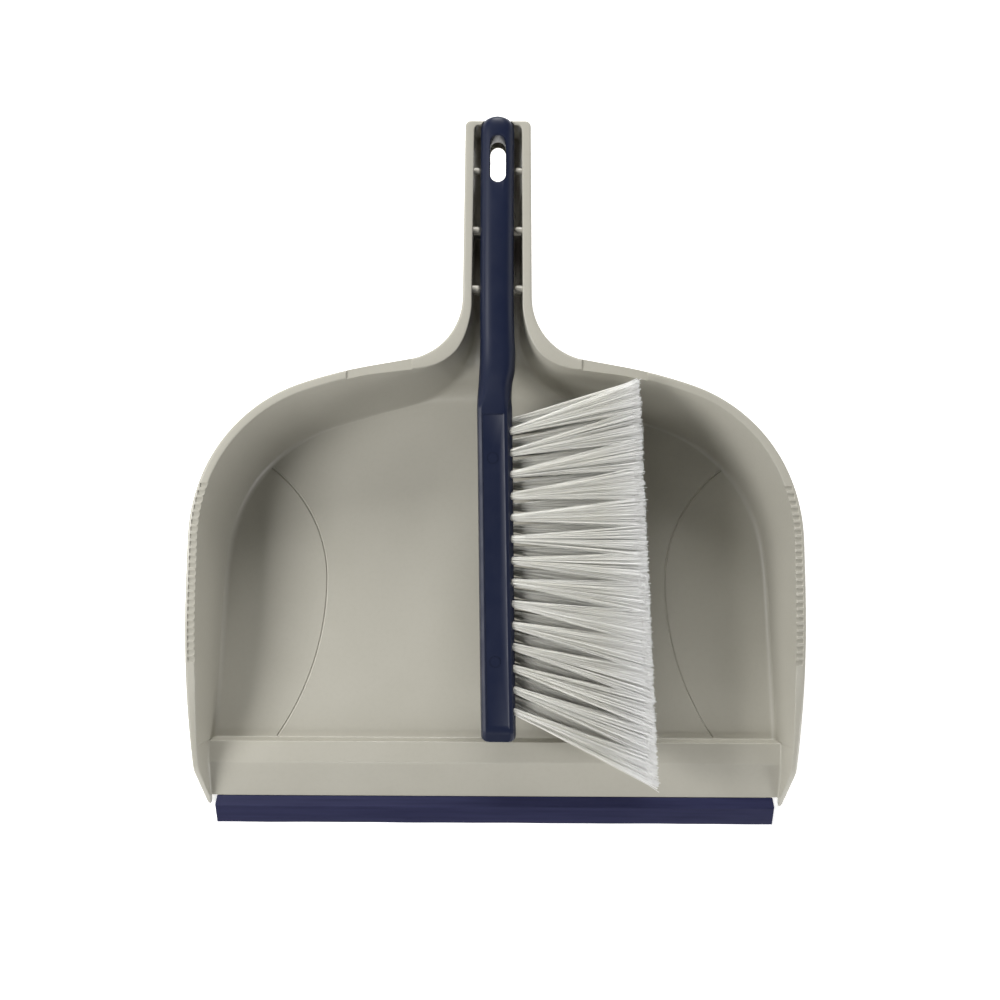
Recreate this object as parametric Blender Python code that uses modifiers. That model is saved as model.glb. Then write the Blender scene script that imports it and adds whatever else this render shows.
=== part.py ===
"""A dust pan and its brush, the brush clipped on its side in the channel of the pan's handle.

Metres, +Z up. The pan lies on the floor with its mouth towards -Y and its handle towards +Y.
The origin is on the floor, at the middle of the set's length and width.
"""

import math

import bmesh
import bpy
import numpy as np
from mathutils import Vector

GAP = 0.0003
SHELL = 0.002

# The pan: the rim's outline, from the handle's end to the mouth, as tangent lines and arcs.
# Each move is a length and the turn in degrees made over it, with left turns positive.
HANDLE_END = 0.1906
RIM_MOVES = [
    (0.0144, 0.0),
    (0.0047, -89.4),
    (0.0907, 0.0),
    (0.0467, 79.4),
    (0.0210, 0.0),
    (0.0390, -9.0),
    (0.0715, -47.3),
    (0.0355, -21.4),
    (0.0875, -2.3),
    (0.0402, 0.0),
    (0.0030, -12.5),
    (0.0214, 0.0),
]
# The line where the walls would meet the pan's floor, from the middle of the back to the mouth.
FOOT_BACK = 0.051
FOOT_MOVES = [(0.0265, -13.5), (0.0670, -3.4), (0.0975, -65.8), (0.0185, -3.7), (0.1200, -0.6)]
MOUTH = -0.1763
SIDE_TIP = -0.1813

RIM_TOP = 0.055
RIM_DIP_START = -0.060
RIM_DIP_RADIUS = 0.177
RIM_KINK = -0.1585
RIM_KINK_SLOPE = 0.95
FLOOR_TOP = 0.00215
CREST_TOP = 0.011
CREST_BACK = -0.1451
CREST_FRONT = -0.1568
STEP_FOOT = -0.1442
RAMP_END = 0.0044
RAMP_SIDE = 0.1590

# The flange's width: along the handle, round the neck by share, round the back by length, and by Y.
HANDLE_FLANGE = 0.0048
END_FLANGE_SHARE = 0.724
NECK_FLANGE = ((0, 0.25, 0.55, 0.75, 1), (0.0048, 0.0058, 0.0083, 0.0076, 0.0054))
BACK_FLANGE = ((0.156, 0.180, 0.260, 0.330), (0.0054, 0.0041, 0.0045, 0.0050))
SIDE_FLANGE = ((MOUTH, -0.145, -0.110, -0.040), (0.0031, 0.0033, 0.0050, 0.0052))

# The fillets between the walls and the floor, and the lengths at which the foot meets the shoulder
# and the corner.
CHANNEL_FILLETS = (0.003, 0.004)
BACK_FILLET = 0.005
SIDE_FILLETS = ((CREST_BACK, STEP_FOOT, -0.138), (0.0015, 0.004, 0.005))
SHOULDER_FOOT = 0.035
CORNER_FOOT = 0.1535
SIDE_YS = [-0.050, -0.062, -0.074, -0.088, -0.102, -0.116, -0.128, -0.138, STEP_FOOT]
RAMP_YS = [CREST_BACK, -0.151, CREST_FRONT, RIM_KINK, -0.165, -0.1715, MOUTH]

# The channel in the pan's handle.
CHANNEL_FLOOR = 0.027
CHANNEL_DRAFT = 0.0011
CHANNEL_MOUTH = [(0.0122, 0.082, 0.027), (0.013, 0.060, 0.027), (0.0335, 0.0476, 0.002)]
BACK_SLOPE = 0.4
END_WALL = 0.0024
CLIP_Y = (0.1644, 0.1330, 0.1018)
CLIP_Z = 0.051
CLIP_RADIUS = 0.0016
CLIP_ROOT = 0.0140
CLIP_TIP = 0.0092
CRADLE_THICK = 0.002
CRADLE_HALF = 0.0127
NOTCH_CORNER = 0.005
SLOT_Y = 0.1696
SLOT_LENGTH = 0.0245
SLOT_WIDTH = 0.0083
TOOTH_PITCH = 0.00387
TOOTH_COUNT = 25
TOOTH_FIRST = -0.0036
TOOTH_GAP = 0.0026
TOOTH_DEPTH = 0.0012
TOOTH_INSET = (0.0014, 0.0066)
RECESS_X = (0.045, 0.080)
RECESS_Y = (0.050, 0.075)
RECESS_DEPTH = 0.001
TONGUE_HALF = 0.152
TONGUE_END = -0.1812
TONGUE_Z = (0.0013, 0.0033)

# The rubber lip on the pan's mouth.
LIP_FRONT = -0.1921
LIP_HALF = 0.1565
LIP_NOSE = 0.0009
LIP_RIDGE = (-0.1826, 0.0046)
LIP_SLANT = (0.0008, 0.0006)

# The brush: one moulding with a handle and a block, lying on its side.
BRUSH_Z = 0.050
BRUSH_END = 0.1921
HANDLE_X = -0.0003
HANDLE_HALF = (0.0089, 0.0100)
HANDLE_CORNER = 0.005
HANDLE_END_DROP = 0.0025
HANDLE_TURN = 0.008
HANDLE_SQUARE = 0.75
BLOCK_TOP = 0.038
BLOCK_BOTTOM = -0.1378
BLOCK_HALF_Z = 0.015
BLOCK_TOP_X = (-0.0011, 0.0094)
BLOCK_BOTTOM_X = (0.0019, 0.0093)
BLOCK_CORNER = 0.0026
BLOCK_BEVEL = 0.0012
# Sections down the handle and its neck: y, x, half width, half height and corner.
NECK_SECTIONS = [
    (0.120, HANDLE_X, 0.0089, 0.0100, 0.005),
    (0.0900, -0.0001, 0.0090, 0.0100, 0.005),
    (0.0742, 0.0002, 0.0092, 0.0103, 0.005),
    (0.0660, 0.0004, 0.0095, 0.0108, 0.005),
    (0.0583, 0.0001, 0.0095, 0.0118, 0.0046),
    (0.0503, -0.0008, 0.0090, 0.0134, 0.0040),
    (0.0424, -0.0012, 0.0091, 0.0148, 0.0032),
]

# The tufts, in rows along the block; each row has its height and its tips' two ends along Y.
TUFT_COUNT = 14
TUFT_PITCH = 0.01139
TUFT_RADIUS = 0.0021
TUFT_HOLE = 0.0024
HOLE_DEPTH = 0.0105
TUFT_DEPTH = 0.0092
ROW_PITCH = 0.007
ROW_STARTS = (0.0258, 0.0312)
ROW_TIPS = [(0.0445, -0.1530), (0.0450, -0.1475), (0.0415, -0.1530), (0.0370, -0.1475)]
ROW_LEAN = math.radians(1.5)
TRIM_TOP = 0.0752
TRIM_SLOPE = -0.0515
TIP_HALF = (0.0062, 0.0042)


def clear_scene():
    for thing in list(bpy.data.objects):
        bpy.data.objects.remove(thing, do_unlink=True)


def new_collection(name):
    collection = bpy.data.collections.new(name)
    bpy.context.scene.collection.children.link(collection)
    return collection


def new_material(name, colour, roughness, metallic=0.0):
    material = bpy.data.materials.new(name)
    material.use_nodes = True
    shader = material.node_tree.nodes["Principled BSDF"]
    shader.inputs["Base Color"].default_value = (*colour, 1.0)
    shader.inputs["Roughness"].default_value = roughness
    shader.inputs["Metallic"].default_value = metallic
    return material


def new_object(name, body, collection, material=None):
    """Turn a bmesh into an object of this collection."""
    mesh = bpy.data.meshes.new(name)
    body.to_mesh(mesh)
    body.free()
    thing = bpy.data.objects.new(name, mesh)
    collection.objects.link(thing)
    if material:
        mesh.materials.append(material)
    return thing


def hide(thing):
    thing.hide_render = True
    thing.display_type = "WIRE"


def add_box(body, low, high):
    made = bmesh.ops.create_cube(body, size=1.0)["verts"]
    low, high = Vector(low), Vector(high)
    for vert in made:
        vert.co = (low + high) / 2 + Vector(a * b for a, b in zip(vert.co, high - low))


def add_rod(body, start, end, radius, sides=12):
    """A cylinder between two points."""
    start, end = Vector(start), Vector(end)
    made = bmesh.ops.create_cone(
        body, cap_ends=True, segments=sides, radius1=radius, radius2=radius, depth=(end - start).length
    )["verts"]
    turn = (end - start).to_track_quat("Z", "Y")
    for vert in made:
        vert.co = (start + end) / 2 + turn @ vert.co


def add_loft(body, rings):
    """Join closed rings of points with bands of faces, and close the two ends."""
    verts = [[body.verts.new(point) for point in ring] for ring in rings]
    faces = [body.faces.new(verts[0]), body.faces.new(verts[-1])]
    for ring, other in zip(verts, verts[1:]):
        for i in range(len(ring)):
            j = (i + 1) % len(ring)
            faces.append(body.faces.new((ring[i], ring[j], other[j], other[i])))
    bmesh.ops.recalc_face_normals(body, faces=faces)


def boolean(thing, operation, collection):
    modifier = thing.modifiers.new(operation.title(), "BOOLEAN")
    modifier.operation = operation
    modifier.operand_type = "COLLECTION"
    modifier.collection = collection
    modifier.solver = "EXACT"


def smooth(thing, degrees=35):
    thing.data.shade_smooth()
    thing.data.set_sharp_from_angle(angle=math.radians(degrees))


class Path:
    """A plane curve of tangent lines and arcs, followed clockwise, so the pan is on its right."""

    def __init__(self, start, moves):
        points = [start]
        headings = [0.0]
        for length, turn in moves:
            steps = max(2, round(length / 0.0005))
            for _ in range(steps):
                middle = headings[-1] + math.radians(turn) / steps / 2
                x, y = points[-1]
                points.append((x + length / steps * math.cos(middle), y + length / steps * math.sin(middle)))
                headings.append(headings[-1] + math.radians(turn) / steps)
        self.points = np.array(points)
        self.headings = np.array(headings)
        self.lengths = np.append(0, np.cumsum(np.linalg.norm(np.diff(self.points, axis=0), axis=1)))
        self.ends = np.append(0, np.cumsum([length for length, _ in moves]))

    def at(self, length):
        """The point at this length along the curve, and the direction into the pan there."""
        x, y = (np.interp(length, self.lengths, self.points[:, i]) for i in (0, 1))
        heading = np.interp(length, self.lengths, self.headings)
        return Vector((x, y, 0)), Vector((math.sin(heading), -math.cos(heading), 0))

    def length_at(self, y):
        """The length at which the curve's front half passes this y."""
        return np.interp(-y, -self.points[:, 1], self.lengths)


def rim_height(y):
    """The rim is level, dips towards the mouth on an arc and then falls straight."""
    if y > RIM_DIP_START:
        return RIM_TOP
    run = RIM_DIP_START - max(y, RIM_KINK)
    drop = RIM_DIP_RADIUS - math.sqrt(RIM_DIP_RADIUS**2 - run**2)
    return RIM_TOP - drop - RIM_KINK_SLOPE * max(0.0, RIM_KINK - y)


def floor_height(y):
    """The pan's floor, its step, the crest's land and the ramp down to the mouth."""
    ys = (MOUTH, CREST_FRONT, CREST_BACK, STEP_FOOT)
    return np.interp(y, ys, (RAMP_END, CREST_TOP, CREST_TOP, FLOOR_TOP))


def bend(a, b, c, t):
    return a * (1 - t) ** 2 + b * 2 * t * (1 - t) + c * t**2


def pan_row(rim, edge, foot, centre, fillet):
    """One line across the pan's inner surface, from the rim to the middle."""
    fillet = min(fillet, 0.45 * (edge - foot).length, 0.8 * max((centre - foot).length, 0.001))
    wall = foot + (edge - foot).normalized() * fillet
    floor = foot + (centre - foot).normalized() * fillet
    rounded = [bend(wall, foot, floor, t) for t in (0, 0.25, 0.5, 0.75, 1)]
    inner = [floor.lerp(centre, t) for t in (0.33, 0.67, 1)]
    return [rim, edge, edge.lerp(wall, 0.5), *rounded, *inner]


def handle_rows(path):
    """The handle's end and its straight sides."""
    rows = []
    corner = path.ends[2]
    for i, length in enumerate((0, 0.0075, path.ends[1], path.ends[1] + 0.0025, corner)):
        rim = path.at(length)[0]
        edge = Vector((rim.x * END_FLANGE_SHARE, rim.y - END_WALL, RIM_TOP))
        foot = Vector((edge.x * 0.93, edge.y - 0.0015, CHANNEL_FLOOR))
        centre = Vector((0, HANDLE_END - 0.006 - 0.001 * i, CHANNEL_FLOOR))
        rim.z = RIM_TOP
        rows.append(pan_row(rim, edge, foot, centre, CHANNEL_FILLETS[0]))
    for length in np.linspace(corner + 0.010, path.ends[3], 8):
        rim, inward = path.at(length)
        rim.z = RIM_TOP
        edge = rim + inward * HANDLE_FLANGE
        foot = Vector((edge.x - CHANNEL_DRAFT, rim.y, CHANNEL_FLOOR))
        rows.append(pan_row(rim, edge, foot, Vector((0, rim.y, CHANNEL_FLOOR)), CHANNEL_FILLETS[1]))
    return rows


def neck_rows(path):
    """The channel's mouth, which flares into the pan's back wall."""
    rows = []
    ends = [Vector(point) for point in CHANNEL_MOUTH]
    for i in range(1, 11):
        part = i / 10
        rim, inward = path.at(path.ends[3] + part * (path.ends[4] - path.ends[3]))
        rim.z = RIM_TOP
        width = np.interp(part, *NECK_FLANGE)
        foot = bend(*ends, max(0, (part - 0.2) / 0.8))
        centre = Vector((0, FOOT_BACK + BACK_SLOPE * (foot.z - FLOOR_TOP), foot.z))
        if part <= 0.2:
            foot.y = rim.y - 0.003 * part / 0.2
            centre.y = foot.y
        fillet = CHANNEL_FILLETS[1] + (BACK_FILLET - CHANNEL_FILLETS[1]) * part
        rows.append(pan_row(rim, rim + inward * width, foot, centre, fillet))
    return rows


def back_rows(path, foot_path):
    """The shoulder and the round back corner."""
    rows = []
    spans = [
        (4, 6, SHOULDER_FOOT, foot_path.ends[2], 7),
        (6, 7, foot_path.ends[2], CORNER_FOOT, 9),
        (7, 8, CORNER_FOOT, foot_path.ends[3], 4),
    ]
    for first, last, foot_first, foot_last, steps in spans:
        for i in range(1, steps + 1):
            length = path.ends[first] + (path.ends[last] - path.ends[first]) * i / steps
            rim, inward = path.at(length)
            rim.z = RIM_TOP
            edge = rim + inward * np.interp(length, *BACK_FLANGE)
            foot = foot_path.at(foot_first + (foot_last - foot_first) * i / steps)[0]
            foot.z = FLOOR_TOP
            rows.append(pan_row(rim, edge, foot, Vector((0, foot.y, FLOOR_TOP)), BACK_FILLET))
    return rows


def side_rows(path, foot_path):
    """The side and the mouth's ramp, in rows square to the pan."""
    rows = []
    for y in SIDE_YS + RAMP_YS:
        rim = path.at(path.length_at(y))[0]
        rim.y = y
        rim.z = rim_height(y)
        edge = Vector((rim.x - np.interp(y, *SIDE_FLANGE), y, rim.z))
        on_ramp = y < STEP_FOOT
        foot_x = RAMP_SIDE + 0.01 * (y - MOUTH) if on_ramp else foot_path.at(foot_path.length_at(y))[0].x
        foot = Vector((min(foot_x, edge.x - GAP), y, floor_height(y)))
        rows.append(pan_row(rim, edge, foot, Vector((0, y, foot.z)), np.interp(y, *SIDE_FILLETS)))
    return rows


def pan_surface():
    """Half of the pan's inner surface, open along the plane of symmetry."""
    rim_path = Path((0.0, HANDLE_END), RIM_MOVES)
    foot_path = Path((0.0, FOOT_BACK), FOOT_MOVES)
    rows = handle_rows(rim_path) + neck_rows(rim_path)
    rows += back_rows(rim_path, foot_path) + side_rows(rim_path, foot_path)
    body = bmesh.new()
    grid = [[body.verts.new(point) for point in row] for row in rows]
    for row, after in zip(grid, grid[1:]):
        for i in range(len(row) - 1):
            body.faces.new((row[i + 1], after[i + 1], after[i], row[i]))
    return body


def clip_pegs(collection):
    """Three pairs of pegs that grip the brush's handle, and the two cradles that it lies on."""
    for i, y in enumerate(CLIP_Y):
        for side in (-1, 1):
            body = bmesh.new()
            add_rod(body, (side * CLIP_ROOT, y, CLIP_Z), (side * CLIP_TIP, y, CLIP_Z), CLIP_RADIUS)
            hide(new_object(f"peg_{i}_{side}", body, collection))
        if abs(y - SLOT_Y) > SLOT_LENGTH / 2:
            body = bmesh.new()
            top = BRUSH_Z - HANDLE_HALF[1] - GAP
            half = CRADLE_THICK / 2
            low = CHANNEL_FLOOR - SHELL / 3
            add_box(body, (-CRADLE_HALF, y - half, low), (CRADLE_HALF, y + half, top))
            hide(new_object(f"cradle_{i}", body, collection))


def mouth_tongue(collection):
    """The thin edge that the rubber lip is pushed onto."""
    body = bmesh.new()
    back = MOUTH + 4 * GAP
    add_box(body, (-TONGUE_HALF, TONGUE_END, TONGUE_Z[0]), (TONGUE_HALF, back, TONGUE_Z[1]))
    hide(new_object("tongue", body, collection))


def side_tips(collection):
    """The pointed ends of the pan's sides, which run on past the mouth beside the lip."""
    path = Path((0.0, HANDLE_END), RIM_MOVES)
    inner = RAMP_SIDE - GAP
    low = TONGUE_Z[0]
    for side in (-1, 1):
        rings = []
        for y in (MOUTH + 4 * GAP, SIDE_TIP):
            outer = path.at(path.length_at(y))[0].x - GAP
            high = rim_height(y) - GAP
            rings.append([(side * x, y, z) for x, z in ((inner, low), (outer, low), (outer, high), (inner, high))])
        body = bmesh.new()
        add_loft(body, rings)
        hide(new_object(f"side_tip_{side}", body, collection))


def slot_outline(length, width, steps=6):
    """A slot with round ends, along Y."""
    points = []
    radius, reach = width / 2, (length - width) / 2
    for end in (1, -1):
        for i in range(steps + 1):
            angle = math.pi * i / steps + (0 if end > 0 else math.pi)
            points.append((radius * math.cos(angle), end * reach + radius * math.sin(angle)))
    return points


def slot_cutter(name, collection, low, high):
    body = bmesh.new()
    outline = slot_outline(SLOT_LENGTH, SLOT_WIDTH)
    add_loft(body, [[(x, SLOT_Y + y, z) for x, y in outline] for z in (low, high)])
    hide(new_object(name, body, collection))


def end_notch(collection):
    """The notch in the handle's end wall, which the end of the brush lies in."""
    half = HANDLE_HALF[0] + GAP
    low = BRUSH_Z - HANDLE_HALF[1] - GAP
    body = bmesh.new()
    corner = NOTCH_CORNER
    profile = [(-half, RIM_TOP + 0.01), (-half, low + corner)]
    profile += [(-half + 0.3 * corner, low + 0.3 * corner), (-half + corner, low)]
    profile += [(-x, z) for x, z in reversed(profile)]
    add_loft(body, [[(x, y, z) for x, z in profile] for y in (HANDLE_END - 0.006, HANDLE_END + 0.002)])
    hide(new_object("end_notch", body, collection))


def shoulder_recesses(collection):
    for side in (-1, 1):
        body = bmesh.new()
        xs = sorted(side * x for x in RECESS_X)
        add_box(body, (xs[0], RECESS_Y[0], RIM_TOP - RECESS_DEPTH), (xs[1], RECESS_Y[1], RIM_TOP + 0.005))
        hide(new_object(f"recess_{side}", body, collection))


def cleaning_teeth(collection):
    """The gaps between the teeth that comb the brush clean, along both sides of the rim."""
    path = Path((0.0, HANDLE_END), RIM_MOVES)
    body = bmesh.new()
    for i in range(TOOTH_COUNT):
        y = TOOTH_FIRST - TOOTH_PITCH * i
        rim = path.at(path.length_at(y))[0].x
        for side in (-1, 1):
            xs = sorted(side * (rim - inset) for inset in TOOTH_INSET)
            z = rim_height(y) - TOOTH_DEPTH
            add_box(body, (xs[0], y - TOOTH_GAP / 2, z), (xs[1], y + TOOTH_GAP / 2, z + 0.004))
    hide(new_object("tooth_gaps", body, collection))


def make_pan(collection):
    pan = new_object("pan_shell", pan_surface(), collection, new_material("pan", (0.56, 0.54, 0.49), 0.38))
    mirror = pan.modifiers.new("Mirror", "MIRROR")
    mirror.merge_threshold = 0.00001
    solid = pan.modifiers.new("Solidify", "SOLIDIFY")
    solid.thickness = SHELL
    solid.offset = -1
    solid.use_even_offset = True
    added = new_collection("pan_additions")
    clip_pegs(added)
    mouth_tongue(added)
    side_tips(added)
    cut = new_collection("pan_cutters")
    slot_cutter("pan_slot", cut, CHANNEL_FLOOR - 0.01, CHANNEL_FLOOR + 0.005)
    end_notch(cut)
    shoulder_recesses(cut)
    cleaning_teeth(cut)
    boolean(pan, "UNION", added)
    boolean(pan, "DIFFERENCE", cut)
    smooth(pan)


def make_lip(collection):
    """A rubber wedge with a groove in its back that takes the pan's tongue."""
    back = MOUTH - GAP
    section = [
        (back, 0.0),
        (LIP_FRONT, 0.0),
        (LIP_FRONT, LIP_NOSE),
        LIP_RIDGE,
        (back, LIP_RIDGE[1]),
        (back, TONGUE_Z[1] + GAP),
        (TONGUE_END - GAP, TONGUE_Z[1] + GAP),
        (TONGUE_END - GAP, TONGUE_Z[0] - GAP),
        (back, TONGUE_Z[0] - GAP),
    ]
    body = bmesh.new()
    half = {back: LIP_HALF - LIP_SLANT[0], LIP_FRONT: LIP_HALF - LIP_SLANT[1]}
    add_loft(body, [[(side * half.get(y, LIP_HALF), y, z) for y, z in section] for side in (-1, 1)])
    new_object("rubber_lip", body, collection, new_material("rubber", (0.03, 0.033, 0.085), 0.5))


def block_x(y):
    """The middle and half thickness of the block across the pan, which lean a little along its length."""
    part = (BLOCK_TOP - y) / (BLOCK_TOP - BLOCK_BOTTOM)
    return [a + (b - a) * part for a, b in zip(BLOCK_TOP_X, BLOCK_BOTTOM_X)]


def brush_section(y, x, half_x, half_z, corner, steps=3):
    """A rounded rectangle square to the brush's length."""
    ring = []
    corner = min(corner, half_x * 0.95, half_z * 0.95)
    for quarter, (sx, sz) in enumerate(((1, 1), (-1, 1), (-1, -1), (1, -1))):
        for i in range(steps + 1):
            angle = math.pi / 2 * (quarter + i / steps)
            px = x + sx * (half_x - corner) + corner * math.cos(angle)
            pz = BRUSH_Z + sz * (half_z - corner) + corner * math.sin(angle)
            ring.append((px, y, pz))
    return ring


def brush_sections():
    """The handle's round end, the straight handle, the neck and the block."""
    half_x, half_z = HANDLE_HALF
    sections = []
    for turn in (8, 25, 45, 65, 90):
        reach = half_x * math.sin(math.radians(turn)) ** HANDLE_SQUARE
        y = BRUSH_END - HANDLE_TURN * (1 - max(0, math.cos(math.radians(turn))) ** HANDLE_SQUARE)
        drop = HANDLE_END_DROP * (1 - math.sin(math.radians(turn)))
        sections.append((y, HANDLE_X, reach, half_z - drop, HANDLE_CORNER))
    sections += NECK_SECTIONS
    top, bottom = BLOCK_TOP_X, BLOCK_BOTTOM_X
    sections.append((BLOCK_TOP, *top, BLOCK_HALF_Z, BLOCK_CORNER))
    sections.append((BLOCK_BOTTOM + BLOCK_BEVEL, *bottom, BLOCK_HALF_Z, BLOCK_CORNER))
    end = (bottom[0], bottom[1] - BLOCK_BEVEL, BLOCK_HALF_Z - BLOCK_BEVEL, BLOCK_CORNER - GAP)
    sections.append((BLOCK_BOTTOM, *end))
    return [brush_section(y, x, hx, hz, corner) for y, x, hx, hz, corner in sections]


def tuft_line(row, number):
    """Where a tuft leaves the block, and where the middle of its trimmed end is."""
    y = ROW_STARTS[row % 2] - TUFT_PITCH * number
    x, half = block_x(y)
    height = ROW_PITCH * (1.5 - row)
    root = Vector((x + half, y, BRUSH_Z + height))
    top, bottom = ROW_TIPS[row]
    tip_y = top + (bottom - top) * number / (TUFT_COUNT - 1)
    tip_x = TRIM_TOP + TRIM_SLOPE * (tip_y - ROW_TIPS[0][0])
    lean = ROW_LEAN * (3 - 2 * row)
    tip = Vector((tip_x, tip_y, root.z + math.tan(lean) * (tip_x - root.x)))
    return root, tip


def make_brush_body(collection):
    body = bmesh.new()
    add_loft(body, brush_sections())
    brush = new_object("brush_body", body, collection, new_material("brush", (0.013, 0.017, 0.04), 0.35))
    cut = new_collection("brush_cutters")
    slot_cutter("brush_slot", cut, BRUSH_Z - 0.02, BRUSH_Z + 0.02)
    holes = bmesh.new()
    for row in range(4):
        for number in range(TUFT_COUNT):
            root, tip = tuft_line(row, number)
            along = (tip - root).normalized()
            add_rod(holes, root - along * HOLE_DEPTH, root + along * 0.004, TUFT_HOLE, 10)
    hide(new_object("tuft_holes", holes, cut))
    boolean(brush, "DIFFERENCE", cut)
    smooth(brush)


def make_tuft(name, row, number, collection, material):
    """A bundle of bristles as one solid: straight in its hole, then opening to its trimmed end."""
    root, tip = tuft_line(row, number)
    along = (tip - root).normalized()
    side = along.cross(Vector((0, 0, 1))).normalized()
    up = side.cross(along)
    trim = Vector((TRIM_SLOPE, 1, 0)).normalized()
    rings = [[], [], []]
    for i in range(10):
        angle = 2 * math.pi * i / 10
        across, over = math.cos(angle), math.sin(angle)
        wall = (side * -across + up * over) * TUFT_RADIUS
        rings[0].append(root - along * TUFT_DEPTH + wall)
        rings[1].append(root + along * GAP + wall)
        rings[2].append(tip + trim * across * TIP_HALF[0] + Vector((0, 0, 1)) * over * TIP_HALF[1])
    body = bmesh.new()
    add_loft(body, rings)
    smooth(new_object(name, body, collection, material))


def make_tufts(collection):
    material = new_material("bristle", (0.72, 0.70, 0.65), 0.6)
    for row in range(4):
        for number in range(TUFT_COUNT):
            make_tuft(f"tuft_{row + 1}_{number + 1:02d}", row, number, collection, material)


def main():
    clear_scene()
    collection = new_collection("dust_pan_and_brush")
    make_pan(collection)
    make_lip(collection)
    make_brush_body(collection)
    make_tufts(collection)


main()
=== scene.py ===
"""The looks of the dust pan and its brush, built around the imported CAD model.

Metres, +Z up, in the CAD model's own frame. The pan's mouth points to -Y and its handle to +Y.
"""

import math
import random

import bmesh
import bpy
import numpy as np
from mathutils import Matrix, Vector


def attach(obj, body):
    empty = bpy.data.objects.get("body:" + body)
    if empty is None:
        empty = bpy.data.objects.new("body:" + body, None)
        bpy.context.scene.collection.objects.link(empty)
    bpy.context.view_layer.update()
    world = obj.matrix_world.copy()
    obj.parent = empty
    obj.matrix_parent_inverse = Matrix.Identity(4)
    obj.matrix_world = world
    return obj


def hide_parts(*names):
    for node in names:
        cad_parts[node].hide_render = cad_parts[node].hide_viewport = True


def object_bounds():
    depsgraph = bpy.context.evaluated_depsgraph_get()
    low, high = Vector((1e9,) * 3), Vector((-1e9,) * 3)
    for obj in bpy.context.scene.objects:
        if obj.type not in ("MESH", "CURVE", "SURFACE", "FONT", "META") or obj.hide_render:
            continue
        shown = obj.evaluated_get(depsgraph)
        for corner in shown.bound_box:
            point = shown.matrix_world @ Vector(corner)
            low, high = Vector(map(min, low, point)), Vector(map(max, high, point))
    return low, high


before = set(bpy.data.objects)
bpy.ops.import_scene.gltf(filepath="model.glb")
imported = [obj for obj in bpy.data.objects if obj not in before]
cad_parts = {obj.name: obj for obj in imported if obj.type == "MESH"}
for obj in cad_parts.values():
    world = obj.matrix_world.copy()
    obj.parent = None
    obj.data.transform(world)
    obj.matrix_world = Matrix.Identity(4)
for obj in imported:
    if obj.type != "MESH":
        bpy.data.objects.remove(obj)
CAD_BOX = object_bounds()

SHELL = 0.002
UP = Vector((0, 0, 1))

# The pan's outline and heights, as in the CAD model.
HANDLE_END = 0.1906
RIM_MOVES = [
    (0.0144, 0.0),
    (0.0047, -89.4),
    (0.0907, 0.0),
    (0.0467, 79.4),
    (0.0210, 0.0),
    (0.0390, -9.0),
    (0.0715, -47.3),
    (0.0355, -21.4),
    (0.0875, -2.3),
    (0.0402, 0.0),
    (0.0030, -12.5),
    (0.0214, 0.0),
]
FOOT_BACK = 0.051
FOOT_MOVES = [(0.0265, -13.5), (0.0670, -3.4), (0.0975, -65.8), (0.0185, -3.7), (0.1200, -0.6)]
MOUTH = -0.1763
SIDE_TIP = -0.1813
RIM_TOP = 0.055
RIM_DIP_START = -0.060
RIM_DIP_RADIUS = 0.177
RIM_KINK = -0.1585
RIM_KINK_SLOPE = 0.95
FLOOR_TOP = 0.00215
CREST_TOP = 0.011
CREST_BACK = -0.1451
CREST_FRONT = -0.1568
STEP_FOOT = -0.1442
RAMP_END = 0.0044
RAMP_SIDE = 0.1590
SIDE_START = -0.050
SIDE_END = -0.1380

# The flange's width: in the neck by the share of it passed, at the back by the length along the rim,
# and at the side by y. The flange is a little thinner than the walls.
END_FLANGE_SHARE = 0.724
HANDLE_FLANGE = 0.0048
NECK_FLANGE = ((0, 0.25, 0.55, 0.75, 1), (HANDLE_FLANGE, 0.0058, 0.0083, 0.0076, 0.0054))
BACK_FLANGE = ((0.156, 0.180, 0.260, 0.330), (0.0054, 0.0041, 0.0045, 0.0050))
SIDE_FLANGE = ((MOUTH, -0.145, -0.110, -0.040), (0.0029, 0.0033, 0.0050, 0.0052))
FLANGE_THINNER = 0.0001
RIM_ROUND = (0.0014, 0.0007)

# The fillets at the foot of the walls.
END_FILLET = 0.003
CHANNEL_FILLET = 0.004
NECK_FILLET = 0.0045
BACK_FILLET = 0.0038
SIDE_FILLET = 0.0034
RAMP_FILLET = 0.0012

# The handle's channel, with its draft, and where the foot of the back wall starts and turns its corner.
CHANNEL_FLOOR = 0.027
CHANNEL_DRAFT = 0.0011
END_DRAFT = 0.0015
END_FOOT_SHARE = 0.93
NECK_STRAIGHT = 0.2
BACK_FOOT_START = 0.035
BACK_FOOT_CORNER = 0.1535
CHANNEL_MOUTH = [(0.0122, 0.082, 0.027), (0.013, 0.060, 0.027), (0.0335, 0.0476, 0.002)]
BACK_SLOPE = 0.4
END_WALL = 0.0024
CLIP_Y = (0.1644, 0.1330, 0.1018)
CLIP_Z = 0.051
PEG_RADIUS = 0.0018
PEG_DOME = 0.30
PEG_ROOT = 0.0140
CLIP_TIP = 0.0092
CRADLE_HALF = (0.0127, 0.001)
GAP = 0.0003

# The notch in the handle's end wall: its half width at each distance past the handle's end.
NOTCH = [(-0.006, 0.0092), (-0.0026, 0.0088), (0.0006, 0.0064)]
NOTCH_ROUND = 0.005

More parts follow.
